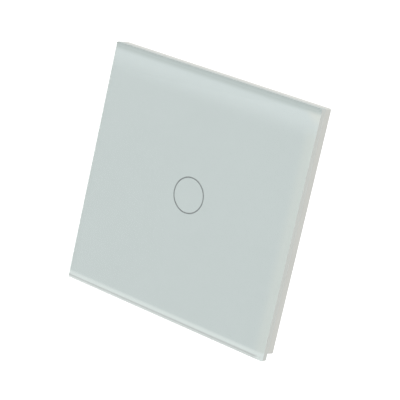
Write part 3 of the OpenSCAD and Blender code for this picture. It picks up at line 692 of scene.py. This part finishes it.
# The touch spring is one gilt steel wire, coiled with a closer turn at each end. It stands on the
# touch board and presses on the back of the glass.
spring_low, spring_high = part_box("touch_spring")
spring_middle = (spring_low + spring_high) / 2
spring_wire_r = 0.0003
spring_r = (spring_high.x - spring_low.x) / 2 - spring_wire_r
spring_turns = 5
turn_points = 32
end_rise = 0.00105
spring_rise = spring_high.y - spring_low.y - 2 * spring_wire_r
free_rise = (spring_rise - 2 * end_rise) / (spring_turns - 2)
spring_path = bpy.data.curves.new("touch_coil", "CURVE")
spring_path.dimensions = "3D"
spring_path.bevel_depth = spring_wire_r
spring_path.bevel_resolution = 3
spring_path.use_fill_caps = True
wire = spring_path.splines.new("POLY")
wire.points.add(spring_turns * turn_points)
for step, point in enumerate(wire.points):
    turn = step / turn_points
    angle = 2 * math.pi * turn
    rise = min(turn, 1) * end_rise + max(turn - spring_turns + 1, 0) * end_rise
    rise += min(max(turn - 1, 0), spring_turns - 2) * free_rise
    across = Vector((math.cos(angle), 0, math.sin(angle))) * spring_r
    at = Vector((spring_middle.x, spring_high.y - spring_wire_r - rise, spring_middle.z)) + across
    point.co = (*at, 1)
spring = bpy.data.objects.new("touch_coil", spring_path)
bpy.context.scene.collection.objects.link(spring)
work_on(spring)
bpy.ops.object.convert(target="MESH")
spring = bpy.context.active_object
closed_and_outward(spring)
bpy.ops.object.shade_smooth_by_angle(angle=wire_smoothing)
hand_over(spring, wire_finish("gilt_wire", (0.80, 0.62, 0.28)), "gilt_wire", "base", "touch_spring")

# The mounting plate is moulded in pale plastic and screwed to the wall box through two slots. Four
# screws hold the housing behind it, and stakes hold the feet of the clips. Shallow pockets lighten its
# back and its front, as in any thick moulding.
pocket_depth = 0.0005
pocket_cut = 2 * pocket_depth
pocket_corner = 0.0008
pocket_out = 0.0315
level_pocket = (0.011, pocket_cut, 0.008)
level_step = 0.0122
upright_pocket = (0.008, pocket_cut, 0.0083)
upright_heights = (-0.0189, -0.0096, 0.0096, 0.0189)
wide_field = (0.024, pocket_cut, 0.013)
wide_field_z = 0.0205
small_field = (0.012, pocket_cut, 0.011)
small_field_x = 0.0195
plate_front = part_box("panel_frame")[1].y
pockets = []
for side in (-1, 1):
    for step in range(-2, 3):
        pockets.append(rounded_block(level_pocket, (step * level_step, 0, side * pocket_out), pocket_corner))
    for z in upright_heights:
        pockets.append(rounded_block(upright_pocket, (side * pocket_out, 0, z), pocket_corner))
for z in (-wide_field_z, wide_field_z):
    pockets.append(rounded_block(wide_field, (0, plate_front, z), pocket_corner))
    for x in (-small_field_x, small_field_x):
        pockets.append(rounded_block(small_field, (x, plate_front, z / 2), pocket_corner))
plate_white = moulded("plate_grain", (0.82, 0.82, 0.79), roughness=0.45)
softened("front_plate", "wall_plate", plate_white, "plate_plastic", "base", rounding=0.00012, cutters=pockets)

# The panel clips are strips of spring steel, bent up from their feet, with a bulge that snaps into
# the rail of the panel's frame.
spring_strip = rolled("spring_strip", (0.62, 0.62, 0.62), "Z", roughness=0.3)
softened("panel_clips", "spring_clips", spring_strip, "spring_steel", "base", rounding=0.00009)

# The four housing screws are plated steel too, with a cross in each head. They go through the plate,
# with their heads sunk in it, and cut their own thread in the housing's bosses.
screws_low, screws_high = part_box("case_screws")
case_head_r = 0.0022
case_head_t = 0.0012
case_seat = screws_low.y + case_head_t
case_cross = 0.0024
case_screw = machine_screw(
    "case_screw", head_r=case_head_r, head_t=case_head_t, thread_r=0.0009,
    length=screws_high.y - case_seat, pitch=0.0006,
    depth=0.0006, width=0.0006, lengths=[case_cross, case_cross])
screw_xs = (screws_low.x + case_head_r, screws_high.x - case_head_r)
screw_zs = (screws_low.z + case_head_r, screws_high.z - case_head_r)
for number, (x, z) in enumerate(((x, z) for x in screw_xs for z in screw_zs), start=1):
    screw = copied(case_screw, f"case_screw_{number}")
    moved(screw, (x, case_seat, z))
    hand_over(screw, zinc_plate, "zinc_steel", "base", "case_screws")
bpy.data.objects.remove(case_screw)

# The panel's frame is moulded in grey-white plastic. Its outer wall is the strip that shows behind
# the glass, ribs join the wall to the rail, and the clips hold the rail. Its underside stands back from the
# glass and leans, so that a blade finds its way in to pry the panel off.
frame_grey = moulded("frame_grain", (0.576, 0.582, 0.546), roughness=0.4, pit=0.0002)
frame_low, frame_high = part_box("panel_frame")
frame_corner = 0.0006
lean_front = 0.0002
lean_rear = 0.00065
underside = frame_low.z + frame_corner + weld_gap
frame_piece = copy_of("panel_frame", "frame_moulding")
bpy.ops.object.mode_set(mode="EDIT")
for face_y, lean in ((frame_low.y, lean_front), (frame_high.y, lean_rear)):
    pick_edges(lambda a, b: all(end.z < underside and abs(end.y - face_y) < weld_gap for end in (a, b)))
    bpy.ops.transform.translate(value=(0, 0, -lean))
bpy.ops.object.mode_set(mode="OBJECT")
edges_rounded(frame_piece, rounding=0.0001)
hand_over(frame_piece, frame_grey, "frame_plastic", "panel", "panel_frame")

# White foam tape, die-cut to the frame, holds the glass. Pressed between the two, it squeezes out
# almost to the frame's edge.
tape_foam, tape_shader, tape_place = new_finish("tape_foam", {"Roughness": 0.9})
foam_cell = 0.00025
cells = tape_place.node("TexVoronoi", inputs={"Vector": tape_place, "Scale": 1 / foam_cell})
between(cells, (0.66, 0.66, 0.64), (0.78, 0.78, 0.76)).into(tape_shader, "Base Color")
embossed(tape_shader, cells, depth=0.00004)
tape = copy_of("glass_tape", "foam_ring")
tape_squeeze = 0.00075
tape_low, tape_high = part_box("glass_tape")
tape_grows = 1 + 2 * tape_squeeze / (tape_high.x - tape_low.x)
bpy.ops.transform.resize(value=(tape_grows, 1, tape_grows), center_override=(tape_low + tape_high) / 2)
bpy.ops.object.transform_apply(location=True, rotation=True, scale=True)
hand_over(tape, tape_foam, "foam_tape", "panel", "glass_tape")

# White enamel is screen-printed on the back of the glass and fired, with a thin grey ring printed in a
# gap as the touch point. Firing leaves it faintly cloudy. At its margins its colour carries painted light
# and shade for what the ground edges of the glass throw on it: dark lines at the top and bottom, with paler
# bands beside them, a paler band on the right and paler upper and lower right corners.
enamel, enamel_shader, enamel_place = new_finish("fired_enamel", {"Roughness": 0.5})
clouds = noise(enamel_place, size=0.02, detail=4)
enamel_and_painted_light = between(clouds, (0.545, 0.606, 0.599), (0.561, 0.622, 0.615))
enamel_x, enamel_z = along(enamel_place, "X"), along(enamel_place, "Z")
# Each painted band of light and shade starts at one distance from the panel's middle and is full at the next.
for margin, start, end, painted_light_and_shade in (
    (enamel_x, 0.0368, 0.0412, (0.606, 0.655, 0.627)),
    (enamel_z, 0.031, 0.0392, (0.636, 0.700, 0.698)),
    (enamel_x + enamel_z, 0.0758, 0.0812, (0.692, 0.725, 0.688)),
    (enamel_z, -0.0400, -0.0412, (0.700, 0.757, 0.742)),
    (enamel_z, -0.0416, -0.0423, (0.500, 0.532, 0.520)),
    (enamel_z, 0.0397, 0.0419, (0.472, 0.532, 0.519)),
    (enamel_x - enamel_z, 0.0805, 0.0835, (0.700, 0.757, 0.742)),
):
    enamel_and_painted_light = between(rises(margin, start, end), enamel_and_painted_light, painted_light_and_shade)
enamel_and_painted_light.into(enamel_shader, "Base Color")
embossed(enamel_shader, noise(enamel_place, size=0.0008), depth=0.000001)
dressed("back_enamel", enamel)
ring_ink, ring_shader, ring_place = new_finish("ring_ink", {"Roughness": 0.6})
specks = noise(ring_place, size=0.0003, detail=3)
between(specks, (0.16, 0.185, 0.185), (0.22, 0.245, 0.245)).into(ring_shader, "Base Color")
dressed("touch_ring", ring_ink)

# The panel is one sheet of clear float glass. Its front edge is ground to a bevel and polished, its
# corners are only just blunted, and its back edge loses its sharpness. The enamel is fired into its back.
glass_low, glass_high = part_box("glass_panel")
glass_bevel = 0.001
corner_r = 0.0005
arris = 0.00012
print_bond = 0.00005
glass_size = glass_high - glass_low + Vector((0, print_bond, 0))
glass_middle = (glass_low + glass_high) / 2 + Vector((0, print_bond / 2, 0))
bpy.ops.object.select_all(action="DESELECT")
bpy.ops.mesh.primitive_cube_add(size=1, location=glass_middle, scale=glass_size)
glass = bpy.context.active_object
glass.name = "glass_sheet"
bpy.ops.object.transform_apply(location=True, rotation=True, scale=True)
bpy.ops.object.mode_set(mode="EDIT")
front_y = glass_low.y + weld_gap
back_y = glass_high.y + print_bond - weld_gap
bevel_end = glass_low.y + glass_bevel + weld_gap
pick_edges(lambda a, b: a.y < front_y and b.y < front_y)
bpy.ops.mesh.bevel(offset=glass_bevel, segments=1, affect="EDGES")
pick_edges(lambda a, b: abs(a.y - b.y) > glass_bevel / 2)
bpy.ops.mesh.bevel(offset=corner_r, segments=4, affect="EDGES")
pick_edges(lambda a, b: a.y > back_y and b.y > back_y)
bpy.ops.mesh.bevel(offset=arris, segments=1, affect="EDGES")
pick_edges(lambda a, b: abs(a.y - b.y) < weld_gap and a.y < bevel_end)
bpy.ops.mesh.bevel(offset=arris / 2, segments=2, affect="EDGES")
bpy.ops.object.mode_set(mode="OBJECT")
facet_angle = math.radians(15)
bpy.ops.object.shade_smooth_by_angle(angle=facet_angle)
float_glass, glass_shader, glass_place = new_finish("float_glass", {"Transmission Weight": 1.0, "IOR": 1.52})
# The glass over the top bevel is tinted darker: painted shade on the top bevel.
bevel_start = glass_high.z - glass_bevel
painted_bevel_shade = rises(along(glass_place, "Z"), bevel_start - arris, bevel_start + arris)
between(painted_bevel_shade, (0.95, 0.985, 0.97), (0.86, 0.89, 0.88)).into(glass_shader, "Base Color")
(0.004 + 0.012 * noise(glass_place, size=0.015)).into(glass_shader, "Roughness")
lets_light_through(float_glass, glass_shader)
hand_over(glass, float_glass, "clear_glass", "panel", "glass_panel")
ground_edge, ground_shader, ground_place = new_finish("ground_edge", {"IOR": 1.5})
scratches = noise(ground_place, size=0.0002, detail=3, stretch=(20, 1, 20))
# The ground edge is darker along the top of the glass: painted shade.
painted_top_shade = rises(along(ground_place, "Z"), glass_high.z - corner_r, glass_high.z - arris)
ground_grey = between(scratches, (0.55, 0.57, 0.54), (0.60, 0.62, 0.59))
between(painted_top_shade, ground_grey, (0.48, 0.51, 0.495)).into(ground_shader, "Base Color")
(0.5 + 0.2 * scratches).into(ground_shader, "Roughness")
embossed(ground_shader, scratches, depth=0.000006)
lets_light_through(ground_edge, ground_shader)
glass.data.materials.append(ground_edge)
work_on(glass)
bpy.ops.object.mode_set(mode="EDIT")
pick_faces(lambda middle, normal: abs(normal.y) < 0.1)
glass.active_material_index = 1
bpy.ops.object.material_slot_assign()
bpy.ops.object.mode_set(mode="OBJECT")
